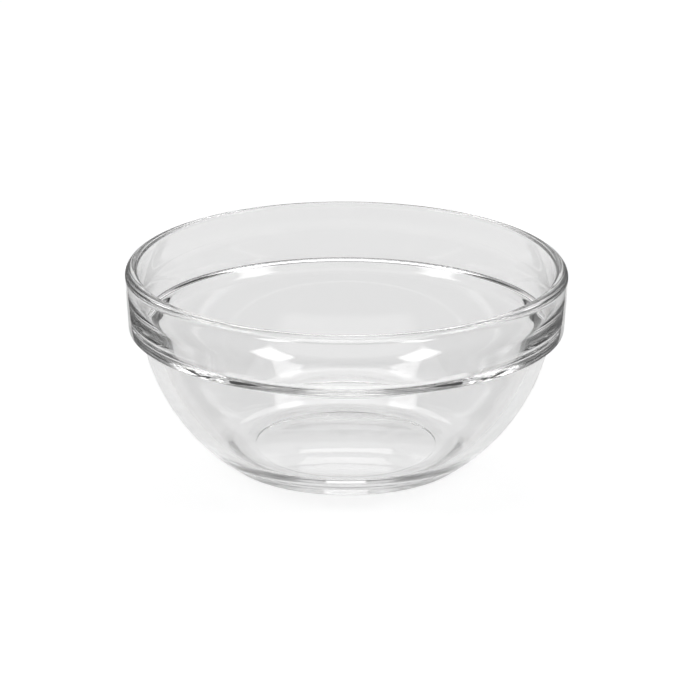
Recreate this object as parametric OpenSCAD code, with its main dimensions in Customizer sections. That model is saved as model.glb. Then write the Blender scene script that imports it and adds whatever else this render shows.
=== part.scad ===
// Stacking prep bowl, pressed in one mould from one gob of clear glass.
// Millimetres, +Z up, origin at the centre of the foot, on the surface the bowl stands on.
// The outline is drawn in the plane of radius and height and turned once about the axis.

/* [Rim] */
// Outside diameter, at the widest point of the lip
rim_d = 120; // [117:1:123]
// Height from the foot to the top of the lip
bowl_h = 55; // [54:0.5:56]
// Thickness of the glass at the lip
lip_t = 3.4; // [3.2:0.1:3.6]
// Rounding of the lip on the outside
lip_outer_round = 2.1; // [1.6:0.1:2.1]
// Rounding of the lip on the inside
lip_inner_round = 1; // [0.6:0.1:1.1]

/* [Rim band] */
// Height of the band, from the ledge under it, on which a stacked bowl rests, to the top of the lip
band_h = 17; // [16.5:0.5:18]
// Width of the ledge, from the body out to the foot of the band
ledge_w = 3.3; // [3:0.1:3.6]
// Rounding of the ledge's outer corner
ledge_round = 0.7; // [0.5:0.1:1]
// Lean of the band's outer wall, in degrees, which lets the glass leave the mould
band_draft = 3.6; // [2.8:0.1:4]
// Rounding between the ledge and the body under it
ledge_cove = 0.6; // [0.4:0.1:0.9]

/* [Inside of the band] */
// Lean of the thin upper wall, in degrees, which lets the plunger out
plunger_draft = 1; // [0.5:0.1:1.2]
// Height from the top of the lip down to the bend, below which the wall thickens
bend_drop = 7; // [6.6:0.1:7.4]
// Rounding of that bend
bend_round = 22; // [16:0.5:24]
// Height from the ledge up to the top of the step inside
step_rise = 1.4; // [1.2:0.1:1.6]
// Slope of the step, in degrees from upright
step_slope = 40; // [38:0.5:42]
// Rounding above the step
step_round = 5; // [3.5:0.1:5.5]
// Height from the ledge down to the centre of the rounding of the step's edge
edge_drop = 3; // [2.8:0.1:3.4]
// Rounding of the step's edge
edge_round = 3.8; // [3.2:0.1:4]

/* [Body] */
// Radius of the round body's outline
body_r = 55; // [54.2:0.2:57]
// Thickness of the body's wall
wall_t = 3.35; // [3.2:0.05:3.6]
// Rounding between the inner wall and the floor
floor_round = 16; // [12:0.5:18]
// Thickness of the floor at its middle
floor_t = 5.5; // [4.8:0.1:6.2]

/* [Foot] */
// Radius at which the outline of the body reaches the surface below
foot_r = 30.6; // [30:0.2:31.4]
// Rounding of the foot's outer edge
foot_round = 8; // [5:0.5:9]
// Radius of the hollow under the floor
hollow_r = 25; // [23:0.2:26]
// Depth of the hollow at its middle
hollow_d = 1.2; // [0.8:0.1:1.6]
// Height of the upright step at the edge of the hollow
hollow_step = 0.4; // [0.2:0.1:0.6]

/* [Hidden] */
$fn = 180;

glass_colour = [0.86, 0.9, 0.9, 0.35];
// How far a cutting shape runs past the glass that it cuts
over = 2;
// A hair added to each rounding's circle, so that it crosses its neighbours cleanly
hair = 0.0005;

rim_r = rim_d / 2;

// The lip's two roundings
lip_outer_c = [rim_r - lip_outer_round, bowl_h - lip_outer_round];
lip_inner_c = [rim_r - lip_t + lip_inner_round, bowl_h - lip_inner_round];

// Radius of the band's outer and inner wall at a height. Each wall is tangent to the lip's rounding.
function band_outer_r(z) = lip_outer_c[0] + lip_outer_round / cos(band_draft)
    - (lip_outer_c[1] - z) * tan(band_draft);
function band_inner_r(z) = lip_inner_c[0] - lip_inner_round / cos(plunger_draft)
    - (lip_inner_c[1] - z) * tan(plunger_draft);

ledge_h = bowl_h - band_h;
ledge_c_h = ledge_h + ledge_round;
ledge_c = [band_outer_r(ledge_c_h) - ledge_round / cos(band_draft), ledge_c_h];

// The body's outline is one arc, through the ledge's inner edge and the foot's edge
body_top = [band_outer_r(ledge_h) - ledge_w, ledge_h];
body_foot = [foot_r, 0];
body_chord = body_top - body_foot;
body_sag = sqrt(body_r * body_r - body_chord * body_chord / 4) / norm(body_chord);
body_c = (body_top + body_foot) / 2 + body_sag * [-body_chord[1], body_chord[0]];
inner_r = body_r - wall_t;

// Radius at a height of a circle that shares the body's centre
function body_circle_r(radius, z) = body_c[0] + sqrt(radius * radius - (z - body_c[1]) * (z - body_c[1]));
// Direction from one point to another, in degrees
function heading(from, to) = atan2(to[1] - from[1], to[0] - from[0]);

// Upward direction of a wall that leans outwards, and the direction from it into the bowl
function along(lean) = [sin(lean), cos(lean)];
function inwards(lean) = [-cos(lean), sin(lean)];
// Centre of the rounding between two walls that meet in a corner and lean differently
function rounding_c(corner, radius, lean_a, lean_b) = corner
    + radius * (inwards(lean_a) + inwards(lean_b)) / (1 + inwards(lean_a) * inwards(lean_b));

// The band's inside, from below: the step's edge on the body's wall, the step's top, and the bend
edge_h = ledge_h - edge_drop;
edge_c = [body_circle_r(inner_r + edge_round, edge_h), edge_h];
edge_top = edge_c + edge_round * inwards(step_slope);
edge_low = edge_top - edge_round * tan(step_slope) * along(step_slope);
step_h = ledge_h + step_rise;
step = [edge_top[0] + (step_h - edge_top[1]) * tan(step_slope), step_h];
bend_h = bowl_h - bend_drop;
bend = [band_inner_r(bend_h), bend_h];
thick_draft = 90 - heading(step, bend);
bend_c = rounding_c(bend, bend_round, plunger_draft, thick_draft);
step_c = rounding_c(step, step_round, thick_draft, step_slope);

cove_c_h = ledge_h - ledge_cove;
cove_c = [body_circle_r(body_r + ledge_cove, cove_c_h), cove_c_h];
cove_foot = cove_c + (ledge_cove + over) * [cos(heading(cove_c, body_c)), sin(heading(cove_c, body_c))];

floor_c_h = floor_t + floor_round;
floor_c = [body_circle_r(inner_r - floor_round, floor_c_h), floor_c_h];
foot_c = [body_circle_r(body_r - foot_round, foot_round), foot_round];

// The hollow under the floor is a shallow dome that starts at the top of the step
dome_rise = hollow_d - hollow_step;
dome_r = (hollow_r * hollow_r + dome_rise * dome_rise) / (2 * dome_rise);

// What lies past an arc, within the angle that the arc spans. It rounds a corner when it is cut away.
module past_arc(centre, radius, start, end) {
    reach = 3 * radius;
    translate(centre)
        difference() {
            polygon([[0, 0], reach * [cos(start), sin(start)], reach * [cos(end), sin(end)]]);
            circle(radius + hair);
        }
}

module circle_at(centre, radius) {
    translate(centre)
        circle(radius);
}

// A strip from the axis outwards, between two heights
module strip(low, high) {
    translate([0, low])
        square([rim_r + over, high - low]);
}

module body_outline() {
    difference() {
        intersection() {
            circle_at(body_c, body_r);
            strip(0, ledge_h);
        }
        past_arc(foot_c, foot_round, -90, heading(body_c, foot_c));
    }
}

// The glass that fills the corner between the ledge and the body
module cove_outline() {
    difference() {
        polygon([cove_c, [cove_c[0], ledge_h + over], [cove_foot[0], ledge_h + over], cove_foot]);
        circle_at(cove_c, ledge_cove + hair);
    }
}

module band_outline() {
    difference() {
        polygon([
            [0, ledge_h],
            [band_outer_r(ledge_h), ledge_h],
            [band_outer_r(bowl_h), bowl_h],
            [0, bowl_h]
        ]);
        past_arc(ledge_c, ledge_round, -90, -band_draft);
        past_arc(lip_outer_c, lip_outer_round, -band_draft, 90);
    }
}

module cavity() {
    difference() {
        intersection() {
            circle_at(body_c, inner_r);
            strip(floor_t, edge_top[1]);
        }
        past_arc(floor_c, floor_round, -90, heading(body_c, floor_c));
    }
    difference() {
        polygon([
            [0, edge_h],
            edge_low,
            step,
            bend,
            [band_inner_r(bowl_h + over), bowl_h + over],
            [0, bowl_h + over]
        ]);
        past_arc(bend_c, bend_round, -thick_draft, -plunger_draft);
        past_arc(step_c, step_round, -step_slope, -thick_draft);
    }
}

module foot_hollow() {
    intersection() {
        circle_at([0, hollow_d - dome_r], dome_r);
        translate([0, -over])
            square([hollow_r, hollow_d + 2 * over]);
    }
}

module bowl() {
    color(glass_colour)
        rotate_extrude()
            difference() {
                union() {
                    body_outline();
                    cove_outline();
                    band_outline();
                }
                cavity();
                foot_hollow();
                past_arc(lip_inner_c, lip_inner_round, 90, 180 - plunger_draft);
                past_arc(edge_c, edge_round, 180 - step_slope, heading(edge_c, body_c));
            }
}

bowl();
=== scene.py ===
from math import atan2, cos, pi, radians, sin, sqrt, tan

import bmesh
import bpy
from mathutils import Matrix, Quaternion, Vector


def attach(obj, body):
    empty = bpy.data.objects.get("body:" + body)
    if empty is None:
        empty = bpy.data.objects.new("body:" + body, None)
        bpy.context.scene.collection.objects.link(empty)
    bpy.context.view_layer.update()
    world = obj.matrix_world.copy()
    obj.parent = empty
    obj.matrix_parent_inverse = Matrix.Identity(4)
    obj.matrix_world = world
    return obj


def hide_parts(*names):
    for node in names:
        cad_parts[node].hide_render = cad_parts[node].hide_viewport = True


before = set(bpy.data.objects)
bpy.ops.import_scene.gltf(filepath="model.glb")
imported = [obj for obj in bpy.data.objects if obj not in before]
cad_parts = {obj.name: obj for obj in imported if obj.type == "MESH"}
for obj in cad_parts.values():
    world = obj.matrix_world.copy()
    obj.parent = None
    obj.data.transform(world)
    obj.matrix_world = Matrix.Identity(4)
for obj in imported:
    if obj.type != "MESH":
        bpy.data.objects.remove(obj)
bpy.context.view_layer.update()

scene = bpy.context.scene
scene.view_settings.view_transform = "Standard"

# The bowl: one piece of clear soda-lime glass, pressed in a mould and fire-polished.
# The outline is drawn from the foot up the outside, over the lip and down the inside,
# in the same sizes as the solid, and is then turned once about the bowl's axis.
rim_r = 0.060
bowl_h = 0.055
lip_t = 0.0034
lip_outer_round = 0.0021
lip_inner_round = 0.0010
band_h = 0.017
ledge_w = 0.0033
ledge_round = 0.0007
ledge_cove = 0.0006
band_draft = radians(3.6)
plunger_draft = radians(1.0)
bend_drop = 0.007
bend_round = 0.022
step_rise = 0.0014
step_slope = radians(40)
step_round = 0.005
edge_drop = 0.003
edge_round = 0.0038
body_r = 0.055
wall_t = 0.00335
floor_round = 0.016
floor_t = 0.0055
foot_r = 0.0306
foot_round = 0.008
hollow_r = 0.025
hollow_d = 0.0012
hollow_step = 0.0004
straight_steps = 6
turn_steps = 256
merge_gap = 1e-6
crisp_angle = radians(40)
glass_tone = 0.99
glass_ior = 1.5
wave_scale = 42
wave_detail = 1
wave_twist = 1.5
wave_height = 0.0002
wave_strength = 0.1
haze_scale = 130
haze_detail = 4
haze_from = 0.52
haze_to = 0.8
haze_roughness = 0.04


def band_outer_r(z):
    """Radius of the band's outer wall, which leans and is tangent to the lip."""
    lip_z = bowl_h - lip_outer_round
    return rim_r - lip_outer_round + lip_outer_round / cos(band_draft) - (lip_z - z) * tan(band_draft)


def band_inner_r(z):
    """Radius of the band's thin inner wall, which leans and is tangent to the lip."""
    lip_z = bowl_h - lip_inner_round
    lip_r = rim_r - lip_t + lip_inner_round - lip_inner_round / cos(plunger_draft)
    return lip_r - (lip_z - z) * tan(plunger_draft)


def body_circle(radius, z):
    """Point at a height on a circle that shares the body's centre."""
    return Vector((body_c.x + sqrt(radius**2 - (z - body_c.y) ** 2), z))


def heading(start, end):
    """Direction from one point to another."""
    return atan2(end.y - start.y, end.x - start.x)


def inwards(lean):
    """Direction from a leaning wall into the bowl."""
    return Vector((-cos(lean), sin(lean)))


def rounding_centre(corner, radius, lean_a, lean_b):
    """Centre of the rounding between two walls that meet in a corner and lean differently."""
    both = inwards(lean_a) + inwards(lean_b)
    return corner + radius * both / (1 + inwards(lean_a).dot(inwards(lean_b)))


ledge_h = bowl_h - band_h
body_top = Vector((band_outer_r(ledge_h) - ledge_w, ledge_h))
body_foot = Vector((foot_r, 0))
chord = body_top - body_foot
sag = sqrt(body_r**2 - chord.length_squared / 4) / chord.length
body_c = (body_top + body_foot) / 2 + sag * Vector((-chord.y, chord.x))
inner_r = body_r - wall_t

dome_rise = hollow_d - hollow_step
dome_r = (hollow_r**2 + dome_rise**2) / (2 * dome_rise)
dome_c = Vector((0, hollow_d - dome_r))
foot_c = body_circle(body_r - foot_round, foot_round)
cove_c = body_circle(body_r + ledge_cove, ledge_h - ledge_cove)
ledge_c_h = ledge_h + ledge_round
ledge_c = Vector((band_outer_r(ledge_c_h) - ledge_round / cos(band_draft), ledge_c_h))
lip_outer_c = Vector((rim_r - lip_outer_round, bowl_h - lip_outer_round))
lip_inner_c = Vector((rim_r - lip_t + lip_inner_round, bowl_h - lip_inner_round))

edge_c = body_circle(inner_r + edge_round, ledge_h - edge_drop)
edge_top = edge_c + edge_round * inwards(step_slope)
step_h = ledge_h + step_rise
step = Vector((edge_top.x + (step_h - edge_top.y) * tan(step_slope), step_h))
bend_h = bowl_h - bend_drop
bend = Vector((band_inner_r(bend_h), bend_h))
thick_draft = pi / 2 - heading(step, bend)
bend_c = rounding_centre(bend, bend_round, plunger_draft, thick_draft)
step_c = rounding_centre(step, step_round, thick_draft, step_slope)
floor_c = body_circle(inner_r - floor_round, floor_t + floor_round)

glass_mesh = bmesh.new()
tip = glass_mesh.verts.new((0, 0, hollow_d))


def line_to(point, steps):
    """Carry the outline's tip along a straight line."""
    global tip
    start = Vector((tip.co.x, tip.co.z))
    if (point - start).length < merge_gap:
        return
    for count in range(1, steps + 1):
        place = start.lerp(point, count / steps)
        tip = bmesh.ops.extrude_vert_indiv(glass_mesh, verts=[tip])["verts"][0]
        tip.co = (place.x, 0, place.y)


def arc_to(centre, radius, start, end, steps):
    """Carry the outline's tip to the start of an arc and then round it."""
    global tip
    line_to(centre + radius * Vector((cos(start), sin(start))), straight_steps)
    spun = bmesh.ops.spin(
        glass_mesh,
        geom=[tip],
        cent=(centre.x, 0, centre.y),
        axis=(0, -1, 0),
        angle=end - start,
        steps=steps,
    )
    tip = next(part for part in spun["geom_last"] if isinstance(part, bmesh.types.BMVert))


arc_to(dome_c, dome_r, pi / 2, heading(dome_c, Vector((hollow_r, hollow_step))), 10)
line_to(Vector((hollow_r, 0)), 1)
arc_to(foot_c, foot_round, -pi / 2, heading(body_c, foot_c), 10)
arc_to(body_c, body_r, heading(body_c, foot_c), heading(body_c, cove_c), 52)
arc_to(cove_c, ledge_cove, heading(cove_c, body_c), pi / 2, 8)
arc_to(ledge_c, ledge_round, -pi / 2, -band_draft, 10)
arc_to(lip_outer_c, lip_outer_round, -band_draft, pi / 2, 16)
arc_to(lip_inner_c, lip_inner_round, pi / 2, pi - plunger_draft, 12)
arc_to(bend_c, bend_round, -plunger_draft, -thick_draft, 12)
arc_to(step_c, step_round, -thick_draft, -step_slope, 10)
arc_to(edge_c, edge_round, pi - step_slope, heading(edge_c, body_c), 12)
arc_to(body_c, inner_r, heading(body_c, edge_c), heading(body_c, floor_c), 40)
arc_to(floor_c, floor_round, heading(body_c, floor_c), -pi / 2, 20)
line_to(Vector((0, floor_t)), 8)

bmesh.ops.spin(
    glass_mesh,
    geom=glass_mesh.verts[:] + glass_mesh.edges[:],
    cent=(0, 0, 0),
    axis=(0, 0, 1),
    angle=2 * pi,
    steps=turn_steps,
    use_merge=True,
)
bmesh.ops.remove_doubles(glass_mesh, verts=glass_mesh.verts[:], dist=merge_gap)
bmesh.ops.recalc_face_normals(glass_mesh, faces=glass_mesh.faces[:])
# The operators leave the faces in no fixed order, so they are put in the order of their corners
glass_mesh.verts.index_update()
corner_count = len(glass_mesh.verts)


def face_order(face):
    """Number that sorts a face by its three lowest corners."""
    first, second, third = sorted(corner.index for corner in face.verts)[:3]
    return (first * corner_count + second) * corner_count + third


glass_mesh.faces.sort(key=face_order)
for face in glass_mesh.faces:
    face.smooth = True
# The step at the hollow's edge is the one crisp corner
for edge in glass_mesh.edges:
    edge.smooth = edge.calc_face_angle() < crisp_angle
bowl_data = bpy.data.meshes.new("glass_bowl")
glass_mesh.to_mesh(bowl_data)
glass_mesh.free()
bowl = bpy.data.objects.new("glass_bowl", bowl_data)
scene.collection.objects.link(bowl)

glass = bpy.data.materials.new("clear_glass")
glass.use_nodes = True
nodes = glass.node_tree.nodes
links = glass.node_tree.links
shader = nodes["Principled BSDF"]
shader.inputs["Base Color"].default_value = (glass_tone, glass_tone, glass_tone, 1)
shader.inputs["Transmission Weight"].default_value = 1
shader.inputs["IOR"].default_value = glass_ior
place = nodes.new("ShaderNodeTexCoord")
# The mould leaves the surface slightly wavy
waves = nodes.new("ShaderNodeTexNoise")
waves.inputs["Scale"].default_value = wave_scale
waves.inputs["Detail"].default_value = wave_detail
waves.inputs["Distortion"].default_value = wave_twist
links.new(place.outputs["Object"], waves.inputs["Vector"])
surface = nodes.new("ShaderNodeBump")
surface.inputs["Strength"].default_value = wave_strength
surface.inputs["Distance"].default_value = wave_height
links.new(waves.outputs["Fac"], surface.inputs["Height"])
links.new(surface.outputs["Normal"], shader.inputs["Normal"])
# Washing leaves patches of slight haze
wear = nodes.new("ShaderNodeTexNoise")
wear.inputs["Scale"].default_value = haze_scale
wear.inputs["Detail"].default_value = haze_detail
links.new(place.outputs["Object"], wear.inputs["Vector"])
polish = nodes.new("ShaderNodeMapRange")
polish.inputs["From Min"].default_value = haze_from
polish.inputs["From Max"].default_value = haze_to
polish.inputs["To Max"].default_value = haze_roughness
links.new(wear.outputs["Fac"], polish.inputs["Value"])
links.new(polish.outputs["Result"], shader.inputs["Roughness"])
bowl_data.materials.append(glass)

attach(bowl, "root")
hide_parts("bowl")

# The floor: a plain white studio table. It adds what its lit colour lacks to white for the camera,
# and less for rays that the glass sends on: that share is painted shade that fades far off, where the
# studio is dark, and a painted pool of light under the bowl, where the glass gathers light. The bowl's
# shadow stays.
floor_half = 6
floor_drop = 0.0001
floor_colour = 0.45
camera_lift = 0.8
glass_lift = 0.565
# Painted shade: the glass rays' share of the glow fades out between these two distances
lift_near = 0.2
lift_far = 0.5
# Painted pool of light: the extra glow that glass rays see on the floor under the bowl
painted_pool_lift = 0.15
painted_pool_near = 0.02
painted_pool_far = 0.05


def add_stage(name, mesh, material):
    """Put a plain studio thing in the scene, apart from the bowl."""
    data = bpy.data.meshes.new(name)
    mesh.to_mesh(data)
    mesh.free()
    data.materials.append(material)
    thing = bpy.data.objects.new(name, data)
    scene.collection.objects.link(thing)
    return thing


table = bpy.data.materials.new("studio_white")
table.use_nodes = True
nodes = table.node_tree.nodes
links = table.node_tree.links
nodes.remove(nodes["Principled BSDF"])
paper = nodes.new("ShaderNodeBsdfDiffuse")
paper.inputs["Color"].default_value = (floor_colour, floor_colour, floor_colour, 1)
rays = nodes.new("ShaderNodeLightPath")
bent = nodes.new("ShaderNodeMath")
bent.operation = "MAXIMUM"
links.new(rays.outputs["Is Glossy Ray"], bent.inputs[0])
links.new(rays.outputs["Is Transmission Ray"], bent.inputs[1])
place = nodes.new("ShaderNodeTexCoord")
reach = nodes.new("ShaderNodeVectorMath")
reach.operation = "LENGTH"
links.new(place.outputs["Object"], reach.inputs[0])
pool = nodes.new("ShaderNodeMath")
# The glow for glass rays: painted shade that fades it far off, plus a painted pool of light under the bowl
for count, (near, far, share) in enumerate(
    ((lift_near, lift_far, glass_lift), (painted_pool_near, painted_pool_far, painted_pool_lift))
):
    fade = nodes.new("ShaderNodeMapRange")
    fade.interpolation_type = "SMOOTHSTEP"
    fade.inputs["From Min"].default_value = near
    fade.inputs["From Max"].default_value = far
    fade.inputs["To Min"].default_value = share
    fade.inputs["To Max"].default_value = 0
    links.new(reach.outputs["Value"], fade.inputs["Value"])
    links.new(fade.outputs["Result"], pool.inputs[count])
through = nodes.new("ShaderNodeMath")
through.operation = "MULTIPLY"
links.new(bent.outputs[0], through.inputs[0])
links.new(pool.outputs[0], through.inputs[1])
lift = nodes.new("ShaderNodeMath")
lift.operation = "MULTIPLY_ADD"
lift.inputs[1].default_value = camera_lift
links.new(rays.outputs["Is Camera Ray"], lift.inputs[0])
links.new(through.outputs[0], lift.inputs[2])
glow = nodes.new("ShaderNodeEmission")
links.new(lift.outputs[0], glow.inputs["Strength"])
both = nodes.new("ShaderNodeAddShader")
links.new(paper.outputs[0], both.inputs[0])
links.new(glow.outputs[0], both.inputs[1])
links.new(both.outputs[0], nodes["Material Output"].inputs["Surface"])

floor_mesh = bmesh.new()
bmesh.ops.create_grid(
    floor_mesh, x_segments=1, y_segments=1, size=floor_half, matrix=Matrix.Translation((0, 0, -floor_drop))
)
add_stage("floor", floor_mesh, table)

# The lamps: a softbox left and right and a little in front, a long scrim overhead, a wide fill
# above the camera, a panel behind with a narrow bright strip before its upper half, and a dim
# ceiling. Each is a flat glowing sheet that faces the bowl.


def lamp_material(name, strength, edge):
    """Glow that falls off over a share of the lamp's half width at its edges."""
    material = bpy.data.materials.new(name)
    material.use_nodes = True
    nodes = material.node_tree.nodes
    links = material.node_tree.links
    nodes.remove(nodes["Principled BSDF"])
    place = nodes.new("ShaderNodeTexCoord")
    off_centre = nodes.new("ShaderNodeVectorMath")
    off_centre.operation = "SUBTRACT"
    off_centre.inputs[1].default_value = (0.5, 0.5, 0)
    links.new(place.outputs["UV"], off_centre.inputs[0])
    size = nodes.new("ShaderNodeVectorMath")
    size.operation = "ABSOLUTE"
    links.new(off_centre.outputs[0], size.inputs[0])
    axes = nodes.new("ShaderNodeSeparateXYZ")
    links.new(size.outputs[0], axes.inputs[0])
    falloff = nodes.new("ShaderNodeMath")
    falloff.operation = "MULTIPLY"
    for side in (0, 1):
        fade = nodes.new("ShaderNodeMapRange")
        fade.interpolation_type = "SMOOTHSTEP"
        fade.inputs["From Min"].default_value = 0.5
        fade.inputs["From Max"].default_value = 0.5 - edge / 2
        fade.inputs["To Max"].default_value = 1
        links.new(axes.outputs[side], fade.inputs["Value"])
        links.new(fade.outputs["Result"], falloff.inputs[side])
    power = nodes.new("ShaderNodeMath")
    power.operation = "MULTIPLY"
    power.inputs[1].default_value = strength
    links.new(falloff.outputs[0], power.inputs[0])
    glow = nodes.new("ShaderNodeEmission")
    links.new(power.outputs[0], glow.inputs["Strength"])
    links.new(glow.outputs[0], nodes["Material Output"].inputs["Surface"])
    return material


def add_lamp(name, centre, width, height, strength, edge):
    """Flat lamp that faces the bowl and stays out of the camera's sight."""
    mesh = bmesh.new()
    mesh.loops.layers.uv.new("face")
    facing = Vector(centre).to_track_quat("Z", "Y")
    bmesh.ops.create_grid(
        mesh,
        x_segments=1,
        y_segments=1,
        size=0.5,
        matrix=Matrix.LocRotScale(Vector(centre), facing, Vector((width, height, 1))),
        calc_uvs=True,
    )
    lamp = add_stage(name, mesh, lamp_material(name, strength, edge))
    lamp.visible_camera = False


box_size = 0.46
box_distance = 1.2
box_elevation = radians(47.5)
box_azimuth = radians(109)
box_strength = 6
box_edge = 0.35
scrim_width = 0.6
scrim_length = 1.37
scrim_distance = 1.1
scrim_elevation = radians(78)
scrim_strength = 0.95
scrim_edge = 0.3
fill_width = 2.6
fill_height = 0.84
fill_distance = 1.3
fill_elevation = radians(132)
fill_strength = 0.7
fill_edge = 0.4
panel_width = 1.2
panel_height = 0.54
panel_distance = 1.5
panel_elevation = radians(29)
panel_strength = 0.68
panel_edge = 0.1
strip_width = 0.36
strip_length = 0.45
strip_distance = 1.4
strip_elevation = radians(33)
strip_strength = 2.4
strip_edge = 0.15
ceiling_size = 3
ceiling_height = 1.5
ceiling_strength = 0.25
ceiling_edge = 0.3


def toward(azimuth, elevation, distance):
    """Place seen from the bowl at an azimuth from straight behind it and at an elevation."""
    level = distance * cos(elevation)
    return Vector((level * sin(azimuth), level * cos(azimuth), distance * sin(elevation)))


for side in (-1, 1):
    box_centre = toward(side * box_azimuth, box_elevation, box_distance)
    add_lamp("softbox", box_centre, box_size, box_size, box_strength, box_edge)
scrim_centre = toward(0, scrim_elevation, scrim_distance)
add_lamp("scrim", scrim_centre, scrim_width, scrim_length, scrim_strength, scrim_edge)
fill_centre = toward(0, fill_elevation, fill_distance)
add_lamp("fill", fill_centre, fill_width, fill_height, fill_strength, fill_edge)
panel_centre = toward(0, panel_elevation, panel_distance)
add_lamp("panel", panel_centre, panel_width, panel_height, panel_strength, panel_edge)
strip_centre = toward(0, strip_elevation, strip_distance)
add_lamp("strip", strip_centre, strip_width, strip_length, strip_strength, strip_edge)
add_lamp("ceiling", (0, 0, ceiling_height), ceiling_size, ceiling_size, ceiling_strength, ceiling_edge)

# The cards: a black card upright left and right of the bowl. Only mirrored rays see them, and
# they darken the outer edges of the band.
card_across = 0.1
card_length = 0.36
card_height = 0.1
card_tone = 0.01
black = bpy.data.materials.new("card_black")
black.use_nodes = True
black_shader = black.node_tree.nodes["Principled BSDF"]
black_shader.inputs["Base Color"].default_value = (card_tone, card_tone, card_tone, 1)
for side in (-1, 1):
    card_mesh = bmesh.new()
    card_place = Vector((side * card_across, 0, card_height / 2))
    upright = Quaternion((0, 1, 0), pi / 2)
    bmesh.ops.create_grid(
        card_mesh,
        x_segments=1,
        y_segments=1,
        size=0.5,
        matrix=Matrix.LocRotScale(card_place, upright, Vector((card_height, card_length, 1))),
    )
    card = add_stage("card", card_mesh, black)
    card.visible_camera = False
    card.visible_diffuse = False
    card.visible_transmission = False
    card.visible_shadow = False

# The room: nearly dark, so that the glass's edges show against the lamps. The light inside
# the glass turns back many times before it leaves, so many bounces are followed.
room_strength = 0.05
world = bpy.data.worlds.new("studio")
world.use_nodes = True
nodes = world.node_tree.nodes
nodes["Background"].inputs["Color"].default_value = (1, 1, 1, 1)
nodes["Background"].inputs["Strength"].default_value = room_strength
scene.world = world
scene.cycles.max_bounces = 64
scene.cycles.glossy_bounces = 60
scene.cycles.transmission_bounces = 60

# The camera: far off with a long lens, as in the photograph, 19 degrees above the table
# and turned a third of a degree.
camera_elevation = radians(18.98)
camera_distance = 2.0
camera_roll = radians(0.303)
pivot_height = 0.025
aim_at = Vector((0.00102, 0, 0.03122))
lens_length = 378.5
sensor_width = 36
stand_back = camera_distance * cos(camera_elevation)
stand_height = pivot_height + camera_distance * sin(camera_elevation)
stand_at = Vector((0, -stand_back, stand_height))
lens = bpy.data.cameras.new("camera")
lens.lens = lens_length
lens.sensor_width = sensor_width
camera = bpy.data.objects.new("camera", lens)
camera.location = stand_at
camera.rotation_mode = "QUATERNION"
level = (aim_at - stand_at).to_track_quat("-Z", "Y")
camera.rotation_quaternion = level @ Quaternion((0, 0, 1), camera_roll)
scene.collection.objects.link(camera)
scene.camera = camera
